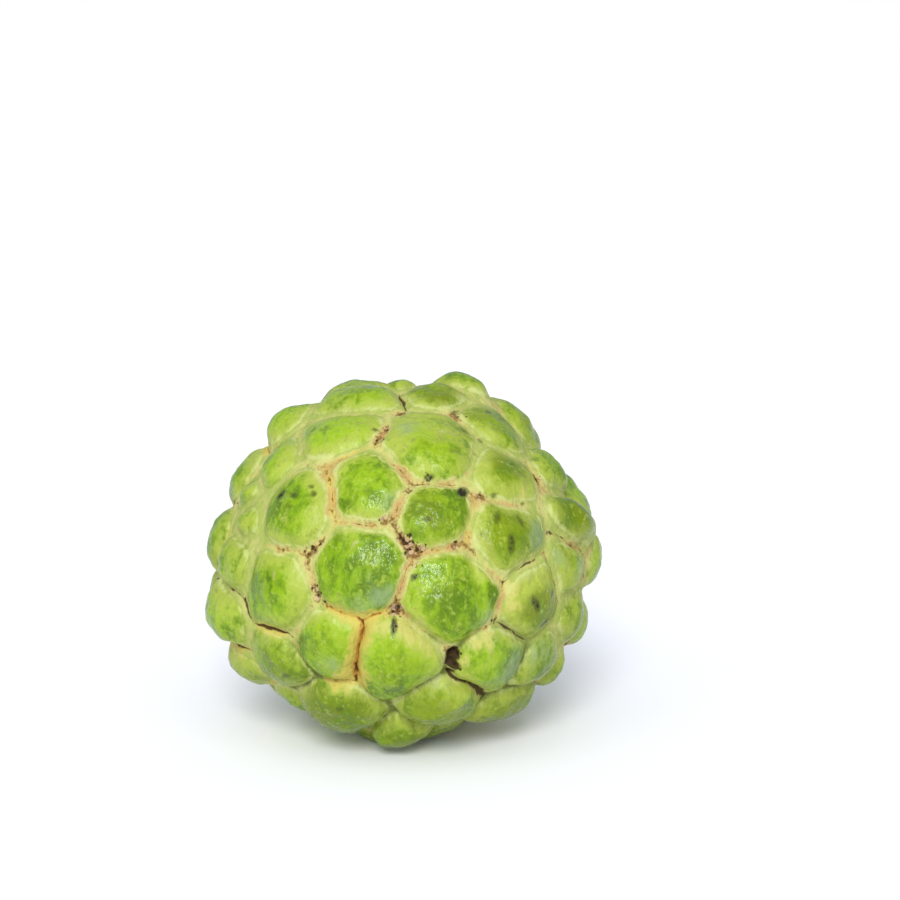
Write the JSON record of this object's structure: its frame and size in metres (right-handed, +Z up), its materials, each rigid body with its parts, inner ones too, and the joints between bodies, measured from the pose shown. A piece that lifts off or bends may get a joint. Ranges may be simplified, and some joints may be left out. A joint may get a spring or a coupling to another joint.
{
  "type": "custard apple",
  "caption": "Round green knobbly tropical fruit with fleshy rounded segments, pale creases and a short cut stalk in a hollow, resting on its own lowest segments.",
  "frame": {"origin": "on the surface the fruit rests on, under the middle of its outline", "axes": "+X to the right seen from the front, -Y out of the front of the fruit, +Z up; the stalk points up and back, along +Y and +Z"},
  "size_m": [0.08, 0.075, 0.073],
  "materials": {
    "fruit_skin": "satin",
    "stalk_bark": "matte"
  },
  "bodies": {
    "root": {"fruit": "fruit_skin", "stalk_stub": "stalk_bark"}
  },
  "joints": []
}
